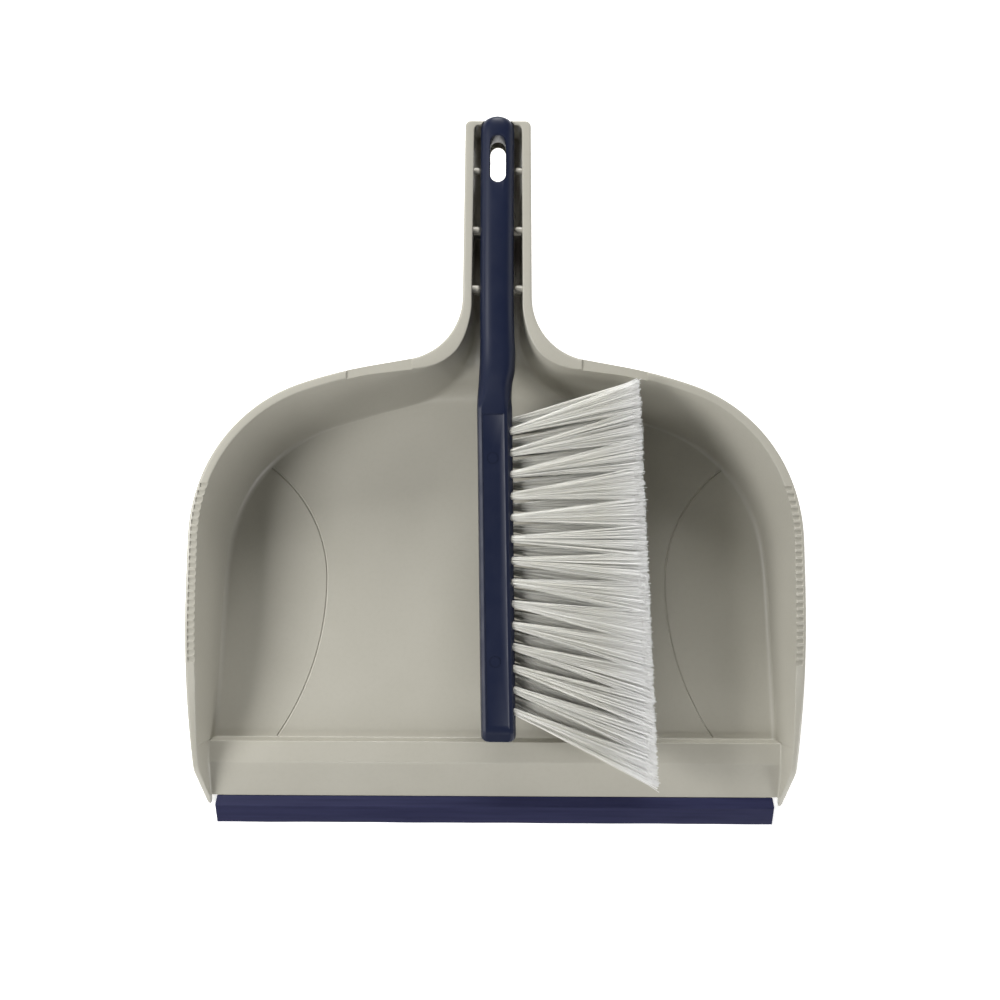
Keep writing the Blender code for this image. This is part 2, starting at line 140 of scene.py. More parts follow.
SLOT_Y = 0.1696
SLOT_LENGTH = 0.0245
SLOT_WIDTH = 0.0083
TOOTH_PITCH = 0.00387
TOOTH_COUNT = 25
TOOTH_FIRST = -0.0036
TOOTH_GAP = 0.0026
TOOTH_DEPTH = 0.0007
TOOTH_INSETS = (0.0070, 0.0014)
RECESS_X = (0.045, 0.080)
RECESS_Y = (0.050, 0.075)
RECESS_DEPTH = 0.0010
TONGUE_HALF = 0.152
TONGUE_END = -0.1812
TONGUE_Z = (0.0013, 0.0033)

# The rubber lip, with how far its ends lie inside its half length by y.
LIP_FRONT = -0.1921
LIP_HALF = 0.1565
LIP_INSET = ((-0.1922, -0.1905, -0.1826, -0.1784, -0.1766), (0.0008, 0.0006, 0.0, 0.0001, 0.0014))
LIP_GROOVE = (0.0010, 0.0036)
LIP_SOFT = 0.0003

# The brush and its tufts.
BRUSH_Z = 0.050
BRUSH_END = 0.1921
BRUSH_END_DEPTH = 0.0080
BRUSH_END_POWER = 0.72
BRUSH_END_SOFT = 0.0022
HANDLE_X = -0.0003
HANDLE_HALF_Z = 0.0100
CROWN_POWER = 2 / 3.1
BLOCK_TOP = 0.038
BLOCK_BOTTOM = -0.1378
BLOCK_HALF_Z = 0.015
BLOCK_TOP_X = (-0.0011, 0.0094)
BLOCK_BOTTOM_X = (0.0019, 0.0093)

# The panels in the block's sides: the y of each end, with the margins at the block's two edges there.
PANEL_ENDS = ((0.0345, 0.0026, 0.0044), (-0.1300, 0.0032, 0.0034))
PANEL_DEPTH = 0.00045
MARK_Y = (0.0114, -0.0955)
MARK_SHIFT = 0.0012

TUFT_COUNT = 14
TUFT_PITCH = 0.01139
TUFT_RADIUS = 0.0021
TUFT_HOLE = 0.0024
HOLE_DEPTH = 0.0105
ROW_PITCH = 0.007
ROW_STARTS = (0.0258, 0.0312)
ROW_TIPS = [(0.0445, -0.1530), (0.0450, -0.1475), (0.0415, -0.1530), (0.0370, -0.1475)]
ROW_LEAN = math.radians(1.5)
TRIM_TOP = 0.0752
TRIM_SLOPE = -0.0515
TIP_HALF_Z = 0.0042

# The two curved lines in the pan's floor: their middles, and their radii and ends above and below.
LINE_X = 0.0946
LINE_Y = -0.055
LINE_RADII = (0.0767, 0.156)
LINE_ENDS = (0.0618, -0.0886)
LINE_HALF = (0.00065, 0.00075)

# Pairs of colours that the materials vary between.
STONE = ((0.452, 0.435, 0.372), (0.482, 0.465, 0.402))
STONE_FLECK = (0.36, 0.34, 0.28)
NAVY = ((0.0068, 0.0110, 0.0320), (0.0085, 0.0132, 0.0370))
BLUE = ((0.0105, 0.0120, 0.0480), (0.0170, 0.0190, 0.0660))
BRISTLE = ((0.84, 0.83, 0.76), (0.95, 0.95, 0.91))
BRISTLE_STREAK = (0.82, 0.79, 0.70)
# The painted highlight that whitens the bristles' trimmed ends, and the x over which it fades in.
BRISTLE_TIP_HIGHLIGHT = (0.985, 0.985, 0.97)
TIP_HIGHLIGHT_X = (0.055, 0.076)
STUDIO_WHITE = ((0.90, 0.90, 0.90), (0.92, 0.92, 0.92))

CAMERA_PLACE = (0.00203, -0.0106, 0.955)
CAMERA_TURN = 0.0054
CAMERA_LENS = 61.13
CAMERA_SENSOR = 36


# ---------------------------------------------------------------- meshes


def link_object(name, data):
    """Put a mesh, a light or a camera into the scene as an object."""
    thing = bpy.data.objects.new(name, data)
    bpy.context.scene.collection.objects.link(thing)
    return thing


def new_object(name, body, material=None):
    """Turn a bmesh into an object of the scene."""
    mesh = bpy.data.meshes.new(name)
    body.to_mesh(mesh)
    body.free()
    if material:
        mesh.materials.append(material)
    return link_object(name, mesh)


def add_loft(body, rings):
    """Join closed rings of points with bands of faces, and close the two ends."""
    verts = [[body.verts.new(point) for point in ring] for ring in rings]
    faces = [body.faces.new(verts[0]), body.faces.new(verts[-1])]
    for ring, other in zip(verts, verts[1:]):
        for i in range(len(ring)):
            j = (i + 1) % len(ring)
            faces.append(body.faces.new((ring[i], ring[j], other[j], other[i])))
    bmesh.ops.recalc_face_normals(body, faces=faces)


def add_box(body, low, high):
    """A box between two corners."""
    corners = [(low[0], low[1]), (high[0], low[1]), (high[0], high[1]), (low[0], high[1])]
    add_loft(body, [[(x, y, z) for x, y in corners] for z in (low[2], high[2])])


def add_rod(body, start, end, radii, sides=20):
    """A round rod whose radius changes along it, as a list of (share of the length, radius)."""
    start, end = Vector(start), Vector(end)
    along = (end - start).normalized()
    side = along.orthogonal().normalized()
    over = along.cross(side)
    rings = []
    for share, radius in radii:
        middle = start.lerp(end, share)
        angles = [2 * math.pi * i / sides for i in range(sides)]
        rings.append([middle + (side * math.cos(a) + over * math.sin(a)) * radius for a in angles])
    add_loft(body, rings)


def combine(thing, operation, body):
    """Add or cut a bmesh of closed bodies, and apply the result to the object's mesh."""
    other = new_object("tool", body)
    modifier = thing.modifiers.new(operation, "BOOLEAN")
    modifier.operation = operation
    modifier.object = other
    modifier.solver = "EXACT"
    modifier.use_self = True
    apply_modifiers(thing)
    bpy.data.objects.remove(other, do_unlink=True)


def apply_modifiers(thing):
    """Replace an object's mesh with what its modifiers make of it."""
    graph = bpy.context.evaluated_depsgraph_get()
    made = bpy.data.meshes.new_from_object(thing.evaluated_get(graph))
    thing.modifiers.clear()
    thing.data = made


def smooth(thing, degrees=35):
    """Shade the faces smooth, with an edge kept sharp where it turns by more than this."""
    thing.data.shade_smooth()
    thing.data.set_sharp_from_angle(angle=math.radians(degrees))


def bend(a, b, c, t):
    """A point on the curve from a to c that b pulls on, at share t."""
    return a * (1 - t) ** 2 + b * 2 * t * (1 - t) + c * t**2


def fan(a, corner, c, steps=4):
    """Points along a rounded corner, from a to c."""
    return [bend(a, corner, c, i / steps) for i in range(steps + 1)]


def slot_outline(length, width, steps=14):
    """A slot with round ends, along Y."""
    points = []
    radius, reach = width / 2, (length - width) / 2
    for end in (1, -1):
        for i in range(steps + 1):
            angle = math.pi * i / steps + (0 if end > 0 else math.pi)
            points.append((radius * math.cos(angle), end * reach + radius * math.sin(angle)))
    return points


def slot_cutter(low, high, round_over, reach=0.006):
    """A slot through the handle, with its two edges rounded over."""
    profile = [(low - reach, round_over)]
    for turn in (0, 22.5, 45, 67.5, 90):
        angle = math.radians(turn)
        profile.append((low + round_over * (1 - math.cos(angle)), round_over * (1 - math.sin(angle))))
    profile += [(high + low - z, grow) for z, grow in reversed(profile)]
    body = bmesh.new()
    rings = []
    for z, grow in profile:
        outline = slot_outline(SLOT_LENGTH + 2 * grow, SLOT_WIDTH + 2 * grow)
        rings.append([(x, SLOT_Y + y, z) for x, y in outline])
    add_loft(body, rings)
    return body


# ---------------------------------------------------------------- materials


def tree_of(name):
    """A new material with its nodes, its links, its shader and a source of object coordinates."""
    material = bpy.data.materials.new(name)
    material.use_nodes = True
    nodes, links = material.node_tree.nodes, material.node_tree.links
    place = nodes.new("ShaderNodeTexCoord").outputs["Object"]
    return material, nodes, links, nodes["Principled BSDF"], place


def noise(nodes, links, source, scale, detail=4.0, roughness=0.55):
    """The value of a noise texture."""
    node = nodes.new("ShaderNodeTexNoise")
    node.inputs["Scale"].default_value = scale
    node.inputs["Detail"].default_value = detail
    node.inputs["Roughness"].default_value = roughness
    links.new(source, node.inputs["Vector"])
    return node.outputs["Fac"]


def ranged(nodes, links, source, low, high, start=0.3, stop=0.7):
    """Turn a texture's value into a value between low and high."""
    node = nodes.new("ShaderNodeMapRange")
    node.inputs["From Min"].default_value = start
    node.inputs["From Max"].default_value = stop
    node.inputs["To Min"].default_value = low
    node.inputs["To Max"].default_value = high
    links.new(source, node.inputs["Value"])
    return node.outputs["Result"]


def mixed(nodes, links, factor, first, second):
    """A colour between two, by a texture's value."""
    node = nodes.new("ShaderNodeMix")
    node.data_type = "RGBA"
    links.new(factor, node.inputs["Factor"])
    for socket, colour in ((node.inputs[6], first), (node.inputs[7], second)):
        if isinstance(colour, tuple):
            socket.default_value = (*colour, 1.0)
        else:
            links.new(colour, socket)
    return node.outputs[2]


def bumped(nodes, links, height, strength, distance, under=None):
    """The normal of a bump of this height in metres, on top of another one if there is one under it."""
    node = nodes.new("ShaderNodeBump")
    node.inputs["Strength"].default_value = strength
    node.inputs["Distance"].default_value = distance
    links.new(height, node.inputs["Height"])
    if under:
        links.new(under, node.inputs["Normal"])
    return node.outputs["Normal"]


def stretched(nodes, links, source, scale):
    """Coordinates scaled along each axis."""
    node = nodes.new("ShaderNodeMapping")
    node.inputs["Scale"].default_value = scale
    links.new(source, node.inputs["Vector"])
    return node.outputs["Vector"]


def pan_plastic():
    """Stone-coloured polypropylene: satin, a little cloudy, with a fine moulded grain."""
    material, nodes, links, shader, place = tree_of("pan_plastic")
    cloud = noise(nodes, links, place, 14)
    fleck = noise(nodes, links, place, 420, 3)
    tone = mixed(nodes, links, ranged(nodes, links, cloud, 0, 1), *STONE)
    tone = mixed(nodes, links, ranged(nodes, links, fleck, 0, 0.12, 0.45, 0.8), tone, STONE_FLECK)
    links.new(tone, shader.inputs["Base Color"])
    haze = noise(nodes, links, place, 55, 5)
    links.new(ranged(nodes, links, haze, 0.315, 0.335), shader.inputs["Roughness"])
    grain = noise(nodes, links, place, 2600, 2)
    scuffs = noise(nodes, links, stretched(nodes, links, place, (900, 30, 30)), 1.0, 3)
    lines = bumped(nodes, links, scuffs, 0.05, 0.0002)
    links.new(bumped(nodes, links, grain, 0.10, 0.0001, lines), shader.inputs["Normal"])
    shader.inputs["IOR"].default_value = 1.49
    return material


def navy_plastic():
    """Dark navy polypropylene with a satin moulded face."""
    material, nodes, links, shader, place = tree_of("navy_plastic")
    cloud = noise(nodes, links, place, 22)
    tone = mixed(nodes, links, ranged(nodes, links, cloud, 0, 1), *NAVY)
    links.new(tone, shader.inputs["Base Color"])
    haze = noise(nodes, links, place, 90, 5)
    links.new(ranged(nodes, links, haze, 0.38, 0.48), shader.inputs["Roughness"])
    shader.inputs["Specular IOR Level"].default_value = 0.32
    grain = noise(nodes, links, place, 2200, 2)
    links.new(bumped(nodes, links, grain, 0.12, 0.0001), shader.inputs["Normal"])
    shader.inputs["IOR"].default_value = 1.49
    return material


def blue_rubber():
    """Dark blue soft rubber, with faint streaks along its length."""
    material, nodes, links, shader, place = tree_of("blue_rubber")
    streak = noise(nodes, links, stretched(nodes, links, place, (25, 700, 700)), 1.0, 4)
    tone = mixed(nodes, links, ranged(nodes, links, streak, 0, 1), *BLUE)
    links.new(tone, shader.inputs["Base Color"])
    links.new(ranged(nodes, links, streak, 0.48, 0.62), shader.inputs["Roughness"])
    shader.inputs["Specular IOR Level"].default_value = 0.35
    grain = noise(nodes, links, place, 1600, 3)
    lines = bumped(nodes, links, streak, 0.15, 0.0002)
    links.new(bumped(nodes, links, grain, 0.15, 0.0001, lines), shader.inputs["Normal"])
    return material


def bristle_filament():
    """Off-white synthetic filaments, each a little different from the next, whitened at their trimmed ends
    by a painted highlight.
    """
    material, nodes, links, shader, place = tree_of("bristle_filament")
    each = nodes.new("ShaderNodeNewGeometry").outputs["Random Per Island"]
    along = noise(nodes, links, stretched(nodes, links, place, (60, 900, 900)), 1.0, 2)
    across = nodes.new("ShaderNodeSeparateXYZ")
    links.new(place, across.inputs[0])
    # Painted highlight: the filaments turn whiter by x towards their trimmed ends, standing in for the light
    # that the bent tips catch.
    tip_highlight = ranged(nodes, links, across.outputs["X"], 0, 1, *TIP_HIGHLIGHT_X)
    tone = mixed(nodes, links, each, *BRISTLE)
    tone = mixed(nodes, links, ranged(nodes, links, along, 0, 0.3), tone, BRISTLE_STREAK)
    tone = mixed(nodes, links, tip_highlight, tone, BRISTLE_TIP_HIGHLIGHT)
    links.new(tone, shader.inputs["Base Color"])
    links.new(ranged(nodes, links, along, 0.30, 0.48), shader.inputs["Roughness"])
    shader.inputs["IOR"].default_value = 1.53
    return material


def floor_material():
    """The studio's white sweep, which gives off a little light."""
    material, nodes, links, shader, place = tree_of("studio_floor")
    cloud = noise(nodes, links, place, 3)
    tone = mixed(nodes, links, ranged(nodes, links, cloud, 0, 1), *STUDIO_WHITE)
    links.new(tone, shader.inputs["Base Color"])
    shader.inputs["Roughness"].default_value = 0.8
    shader.inputs["Emission Color"].default_value = (1.0, 1.0, 1.0, 1.0)
    shader.inputs["Emission Strength"].default_value = 0.65
    return material


# ---------------------------------------------------------------- the pan


class Path:
    """A plane curve of tangent lines and arcs, followed clockwise, so the pan is on its right."""

    def __init__(self, start, moves):
        points = [start]
        headings = [0.0]
        for length, turn in moves:
            steps = max(2, round(length / 0.0005))
            step, angle = length / steps, math.radians(turn) / steps
            for _ in range(steps):
                middle = headings[-1] + angle / 2
                x, y = points[-1]
                points.append((x + step * math.cos(middle), y + step * math.sin(middle)))
                headings.append(headings[-1] + angle)
        self.points = np.array(points)
        self.headings = np.array(headings)
        self.lengths = np.append(0, np.cumsum(np.linalg.norm(np.diff(self.points, axis=0), axis=1)))
        self.ends = np.append(0, np.cumsum([length for length, _ in moves]))

    def at(self, length, z=0.0):
        """The point at this length along the curve, and the direction into the pan there."""
        x, y = (np.interp(length, self.lengths, self.points[:, i]) for i in (0, 1))
        heading = np.interp(length, self.lengths, self.headings)
        return Vector((x, y, z)), Vector((math.sin(heading), -math.cos(heading), 0))

    def length_at(self, y):
        """The length at which the curve's front half passes this y."""
        return np.interp(-y, -self.points[:, 1], self.lengths)


RIM = Path((0.0, HANDLE_END), RIM_MOVES)
FOOT = Path((0.0, FOOT_BACK), FOOT_MOVES)


def rim_height(y):
    """The rim is level, dips towards the mouth on an arc and then falls straight."""
    if y > RIM_DIP_START:
        return RIM_TOP
    run = RIM_DIP_START - max(y, RIM_KINK)
    drop = RIM_DIP_RADIUS - math.sqrt(RIM_DIP_RADIUS**2 - run**2)
    return RIM_TOP - drop - RIM_KINK_SLOPE * max(0.0, RIM_KINK - y)


def handle_rows():
    """The handle's end and its straight sides, as (rim, edge, foot, centre, fillet)."""
    rows = []
    corner = RIM.ends[2]
    lengths = [*np.linspace(0, RIM.ends[1], 6), *np.linspace(RIM.ends[1], corner, 7)[1:]]
    for i, length in enumerate(lengths):
        rim = RIM.at(length, RIM_TOP)[0]
        edge = Vector((rim.x * END_FLANGE_SHARE, rim.y - END_WALL, RIM_TOP))
        foot = Vector((edge.x * END_FOOT_SHARE, edge.y - END_DRAFT, CHANNEL_FLOOR))
        centre = Vector((0, HANDLE_END - 0.006 - 0.004 * i / len(lengths), CHANNEL_FLOOR))
        rows.append((rim, edge, foot, centre, END_FILLET))
    for length in np.linspace(corner + 0.004, RIM.ends[3], 16):
        rim, inward = RIM.at(length, RIM_TOP)
        edge = rim + inward * HANDLE_FLANGE
        foot = Vector((edge.x - CHANNEL_DRAFT, rim.y - CHANNEL_DRAFT, CHANNEL_FLOOR))
        rows.append((rim, edge, foot, Vector((0, foot.y, CHANNEL_FLOOR)), CHANNEL_FILLET))
    return rows


def neck_rows(steps=30):
    """The channel's mouth, which flares into the pan's back wall."""
    rows = []
    ends = [Vector(point) for point in CHANNEL_MOUTH]
    for i in range(1, steps + 1):
        part = i / steps
        rim, inward = RIM.at(RIM.ends[3] + part * (RIM.ends[4] - RIM.ends[3]), RIM_TOP)
        width = np.interp(part, *NECK_FLANGE)
        foot = bend(*ends, max(0, (part - NECK_STRAIGHT) / (1 - NECK_STRAIGHT)))
        centre = Vector((0, FOOT_BACK + BACK_SLOPE * (foot.z - FLOOR_TOP), foot.z))
        if part <= NECK_STRAIGHT:
            foot.y = rim.y - 0.003 * part / NECK_STRAIGHT
            centre.y = foot.y
        rows.append((rim, rim + inward * width, foot, centre, NECK_FILLET))
    return rows


def back_rows():
    """The shoulder and the round back corner."""
    rows = []
    spans = [
        (4, 6, BACK_FOOT_START, FOOT.ends[2], 18),
        (6, 7, FOOT.ends[2], BACK_FOOT_CORNER, 26),
        (7, 8, BACK_FOOT_CORNER, FOOT.ends[3], 12),
    ]
    for first, last, foot_first, foot_last, steps in spans:
        for i in range(1, steps + 1):
            length = RIM.ends[first] + (RIM.ends[last] - RIM.ends[first]) * i / steps
            rim, inward = RIM.at(length, RIM_TOP)
            edge = rim + inward * np.interp(length, *BACK_FLANGE)
            foot = FOOT.at(foot_first + (foot_last - foot_first) * i / steps, FLOOR_TOP)[0]
            rows.append((rim, edge, foot, Vector((0, foot.y, FLOOR_TOP)), BACK_FILLET))
    return rows


def side_row(y, floor, share, grow=0.0):
    """A row square to the pan. The wall's foot moves out by the share, and grow makes its outer face."""
    rim = RIM.at(RIM.length_at(y))[0]
    rim = Vector((rim.x, y, rim_height(y)))
    width = np.interp(y, *SIDE_FLANGE)
    grow = min(grow, 0.7 * width)
    edge = Vector((rim.x - width, y, rim.z))
    inner = FOOT.at(FOOT.length_at(y))[0].x
    outer = RAMP_SIDE + 0.01 * (y - MOUTH)
    foot_x = min(inner + (outer - inner) * share, edge.x - 0.0003)
    fillet = SIDE_FILLET + (RAMP_FILLET - SIDE_FILLET) * share + grow
    edge.x += grow
    return rim, edge, Vector((foot_x + grow, y, floor)), Vector((0, y, floor)), fillet


def rounded_line(points, radii, steps=5):
    """A line through points with its inner corners rounded."""
    points = [Vector(point) for point in points]
    made = [points[0]]
    for before, corner, after, radius in zip(points, points[1:], points[2:], radii):
        a, b = (before - corner).normalized(), (after - corner).normalized()
        cut = radius / math.tan(a.angle(b) / 2)
        made += fan(corner + a * cut, corner, corner + b * cut, steps)
    return made + [points[-1]]


def lowered(points, distance):
    """The same line, moved down and to its far side by a distance, with mitred corners."""
    points = [Vector(point) for point in points]
    normals = [Vector((-(b - a).y, (b - a).x)).normalized() for a, b in zip(points, points[1:])]
    made = [points[0] + normals[0] * distance]
    for point, n, m in zip(points[1:-1], normals, normals[1:]):
        made.append(point + (n + m) * distance / (1 + n.dot(m)))
    last = points[-1] + normals[-1] * distance
    run = points[-1] - points[-2]
    made.append(last + run * (points[-1].x - last.x) / run.x)
    return made


def split_end(points, parts=8):
    """The same line with its last stretch cut into equal parts."""
    return points[:-1] + [points[-2].lerp(points[-1], i / parts) for i in range(1, parts + 1)]


def side_rows():
    """The side, the step and the mouth's ramp: pairs of an upper and a lower row."""
    pairs = []
    for y in np.linspace(SIDE_START, SIDE_END, 26):
        pairs.append((side_row(y, FLOOR_TOP, 0), side_row(y, FLOOR_TOP - SHELL, 0, SHELL)))
    line = [
        (SIDE_END, FLOOR_TOP),
        (STEP_FOOT, FLOOR_TOP),
        (CREST_BACK, CREST_TOP),
        (CREST_FRONT, CREST_TOP),
        (MOUTH, RAMP_END),
    ]
    upper = split_end(rounded_line(line, (0.0009, 0.0007, 0.006)))
    lower = split_end(rounded_line(lowered(line, SHELL), (0.0020, 0.0004, 0.008)))
    for above, below in zip(upper[1:], lower[1:]):
        share = 1
        if above.x > CREST_FRONT + 0.002:
            share = min(1, max(0, (above.y - FLOOR_TOP) / (CREST_TOP - FLOOR_TOP)))
        pairs.append((side_row(*above, share), side_row(*below, share, SHELL)))
    return pairs


def wall_and_floor(start, foot, centre, fillet):
    """Points down the wall from its start, round the fillet and across the floor."""
    fillet = min(fillet, 0.45 * (start - foot).length, 0.8 * max((centre - foot).length, 0.001))
    wall = foot + (start - foot).normalized() * fillet
    floor = foot + (centre - foot).normalized() * fillet
    points = [start.lerp(wall, i / 3) for i in (1, 2)]
    points += fan(wall, foot, floor, 8)
    return points + [floor.lerp(centre, i / 8) for i in range(1, 9)]


def upper_points(rim, edge, foot, centre, fillet):
    """The rim's rounded outer and inner edges, then the wall and the floor."""
    across = (edge - rim).normalized()
    down = (foot - edge).normalized()
    outer = min(RIM_ROUND[0], 0.42 * (edge - rim).length)
    inner = min(RIM_ROUND[1], 0.35 * (edge - rim).length, 0.3 * (foot - edge).length)
    points = fan(rim - UP * outer, rim, rim + across * outer)
    points += fan(edge - across * inner, edge, edge + down * inner)
    return points + wall_and_floor(edge + down * inner, foot, centre, fillet)


def under_flange(rim, edge, corner, down):
    """The rim's lower edge and the flat under it, to the corner with the wall's outer face."""
    across = (edge - rim).normalized()
    low = rim - UP * (SHELL - FLANGE_THINNER)
    room = (corner - low).length
    soft = min(0.0004, 0.3 * room)
    turn = min(0.0008, 0.4 * room)
    points = fan(low + UP * soft, low, low + across * soft)
    away = (low - corner).normalized()
    return points + fan(corner + away * turn, corner, corner + down * turn)


def lower_side_points(upper_row, lower_row):
    """The underside of a row of the side, under the flange of the row above it."""
    rim, edge = upper_row[0].copy(), upper_row[1].copy()
    _, outer_edge, foot, centre, fillet = lower_row
    rim.y = edge.y = outer_edge.y
    rim.x = lower_row[0].x
    edge.x = rim.x - (upper_row[0].x - upper_row[1].x)
    rim.z = edge.z = lower_row[0].z
    down = (foot - outer_edge).normalized()
    corner = outer_edge + down * (outer_edge.z - rim.z + SHELL - FLANGE_THINNER) / -down.z
    head = under_flange(rim, edge, corner, down)
    return head + wall_and_floor(head[-1], foot, centre, fillet)


def eased(grid, first, last, column, rounds):
    """Average each point of some rows with its neighbours in the rows before and after."""
    weight = np.ones(len(grid))
    weight[:first] = weight[last:] = 0
    weight = weight[:, None, None]
    for _ in range(rounds):
        mean = grid.copy()
        mean[1:-1] = (grid[:-2] + 2 * grid[1:-1] + grid[2:]) / 4
        grid[:, column:] += ((mean - grid) * weight)[:, column:]
    return grid


def grid_normals(grid):
    """The direction out of the back of the surface at each point of the grid."""
    along = np.gradient(grid, axis=0)
    across = np.gradient(grid, axis=1)
    normal = np.cross(along, across)
    flat = np.isclose(grid[:, :, 0], 0, atol=1e-7)
    normal[flat, 0] = 0
    return normal / np.linalg.norm(normal, axis=2, keepdims=True)


HEAD = 10  # points across the rim, before the wall


def pan_grids():
    """The pan's inner and outer surfaces for x > 0, as grids of points in rows across the pan."""
    handle, neck = handle_rows(), neck_rows()
    rows = handle + neck + back_rows()
    neck_start, back_start = len(handle), len(handle) + len(neck)
    upper = np.array([upper_points(*row) for row in rows])
    upper = eased(upper, neck_start - 4, len(rows) - 1, 0, 2)
    upper = eased(upper, back_start - 7, back_start + 8, HEAD, 10)
    upper = eased(upper, neck_start + 3, neck_start + 12, HEAD + 8, 6)
    lower = upper + grid_normals(upper) * SHELL
    for i, row in enumerate(rows):
        rim, edge = (Vector(upper[i, k]) for k in (0, HEAD - 1))
        rim.z = edge.z = row[0].z
        down = (Vector(lower[i, HEAD + 1]) - Vector(lower[i, HEAD])).normalized()
        start = Vector(lower[i, HEAD])
        corner = start + down * ((rim.z - SHELL + FLANGE_THINNER) - start.z) / down.z
        lower[i, :HEAD] = under_flange(rim, edge, corner, down)
    pairs = side_rows()
    side_upper = np.array([upper_points(*above) for above, _ in pairs])
    side_lower = np.array([lower_side_points(above, below) for above, below in pairs])
    return np.concatenate([upper, side_upper]), np.concatenate([lower, side_lower])


def pan_body():
    """The pan's closed shell: both grids, the faces that join their edges, and the other half."""
    upper, lower = pan_grids()
    body = bmesh.new()
    above, below = ([[body.verts.new(point) for point in row] for row in grid] for grid in (upper, lower))
    for i in range(len(above) - 1):
        body.faces.new((above[i][0], above[i + 1][0], below[i + 1][0], below[i][0]))
        for k in range(len(above[0]) - 1):
            body.faces.new((above[i][k + 1], above[i + 1][k + 1], above[i + 1][k], above[i][k]))
            body.faces.new((below[i][k], below[i + 1][k], below[i + 1][k + 1], below[i][k + 1]))
    for k in range(len(above[0]) - 1):
        body.faces.new((above[-1][k], above[-1][k + 1], below[-1][k + 1], below[-1][k]))
    half = list(body.verts) + list(body.edges) + list(body.faces)
    bmesh.ops.mirror(body, geom=half, axis="X", merge_dist=0.00001)
    bmesh.ops.remove_doubles(body, verts=body.verts[:], dist=0.000001)
    bmesh.ops.recalc_face_normals(body, faces=body.faces[:])
    return body


def peg_radii():
    """A round rod with a domed end."""
    radii = [(0, PEG_RADIUS)]
    for turn in (0, 25, 45, 65, 80):
        angle = math.radians(turn)
        radii.append((1 - PEG_DOME * (1 - math.sin(angle)), math.cos(angle) * PEG_RADIUS))
    return radii


def pan_additions():
    """The pegs that grip the brush's handle, the cradles that it lies on and the mouth's tongue."""
    body = bmesh.new()
    for y in CLIP_Y:
        for side in (-1, 1):
            add_rod(body, (side * PEG_ROOT, y, CLIP_Z), (side * CLIP_TIP, y, CLIP_Z), peg_radii())
    half_x, half_y = CRADLE_HALF
    for y in CLIP_Y[1:]:
        top = BRUSH_Z - HANDLE_HALF_Z - GAP
        add_box(body, (-half_x, y - half_y, CHANNEL_FLOOR - 0.0007), (half_x, y + half_y, top))
    low, high = TONGUE_Z
    add_box(body, (-TONGUE_HALF, TONGUE_END, low), (TONGUE_HALF, MOUTH + 0.0006, high))
    add_cheeks(body)
    return body


def add_cheeks(body):
    """The pointed ends of the two sides, which run on past the mouth beside the lip."""
    turn_start, turn_length = -0.1800, 0.0013
    for side in (-1, 1):
        rings = []
        for y in (MOUTH + 0.0010, MOUTH - 0.0004, -0.1785, turn_start, -0.1809, SIDE_TIP):
            past = max(0.0, (turn_start - y) / turn_length)
            outer = RIM.at(RIM.length_at(y))[0].x - 0.0001 - 0.0004 * past
            inner = RAMP_SIDE - 0.0002 + 0.0002 * past
            high = rim_height(y) - 0.0001 - 0.0004 * past
            low = 0.0008 + 0.0006 * past
            soft = 0.25 * (outer - inner)
            corners = [(inner, low), (outer, low), (outer, high - soft), (outer - soft / 3, high - soft / 3)]
            corners += [(outer - soft, high), (inner + soft / 2, high), (inner, high - soft / 2)]
            rings.append([(side * x, y, z) for x, z in corners])
        add_loft(body, rings)


def end_notch():
    """The notch in the handle's end wall, which closes in round the end of the brush."""
    low = BRUSH_Z - HANDLE_HALF_Z - GAP
    rings = []
    for past, half in NOTCH:
        flare = -half - 0.0003
        profile = [(flare, RIM_TOP + 0.01), (flare, RIM_TOP + 0.0002), (-half, RIM_TOP - 0.0006)]
        for turn in (0, 20, 45, 70, 90):
            angle = math.radians(turn)
            across, up = NOTCH_ROUND * (1 - math.cos(angle)), NOTCH_ROUND * (1 - math.sin(angle))
            profile.append((-half + across, low + up))
        profile += [(-x, z) for x, z in reversed(profile)]
        rings.append([(x + HANDLE_X, HANDLE_END + past, z) for x, z in profile])
    body = bmesh.new()
    add_loft(body, rings)
    return body


def rounded_box(body, low, high, corner, height, steps=3):
    """A box with rounded upright edges, and a flare at its top that leaves a chamfer."""
    layers = [
        (low[2], -0.0002),
        (low[2] + 0.0002, 0),
        (height - 0.0001, 0),
        (height + 0.0004, 0.0005),
        (high[2], 0.0005),
    ]
    rings = []
    for z, grow in layers:
        ring = []
        x0, y0, x1, y1 = low[0] - grow, low[1] - grow, high[0] + grow, high[1] + grow
        for quarter, (cx, cy) in enumerate(((x1, y1), (x0, y1), (x0, y0), (x1, y0))):
            mx = cx - corner * (1 if cx == x1 else -1)
            my = cy - corner * (1 if cy == y1 else -1)
            for i in range(steps + 1):
                angle = math.pi / 2 * (quarter + i / steps)
                ring.append((mx + corner * math.cos(angle), my + corner * math.sin(angle), z))
        rings.append(ring)
    add_loft(body, rings)


def shoulder_recesses():
    """The shallow recesses in the rim at both shoulders."""
    body = bmesh.new()
    for side in (-1, 1):
        xs = sorted(side * x for x in RECESS_X)
        low = (xs[0], RECESS_Y[0], RIM_TOP - RECESS_DEPTH)
        rounded_box(body, low, (xs[1], RECESS_Y[1], RIM_TOP + 0.005), 0.0003, RIM_TOP)
    return body


def cleaning_teeth():
    """The gaps between the teeth that comb the brush clean, along both sides of the rim."""
    body = bmesh.new()
    for i in range(TOOTH_COUNT):
        y = TOOTH_FIRST - TOOTH_PITCH * i
        rim = RIM.at(RIM.length_at(y))[0].x
        height = rim_height(y)
        for side in (-1, 1):
            xs = sorted(side * (rim - inset) for inset in TOOTH_INSETS)
            low = (xs[0], y - TOOTH_GAP / 2, height - TOOTH_DEPTH)
            rounded_box(body, low, (xs[1], y + TOOTH_GAP / 2, height + 0.003), 0.0004, height)
    return body


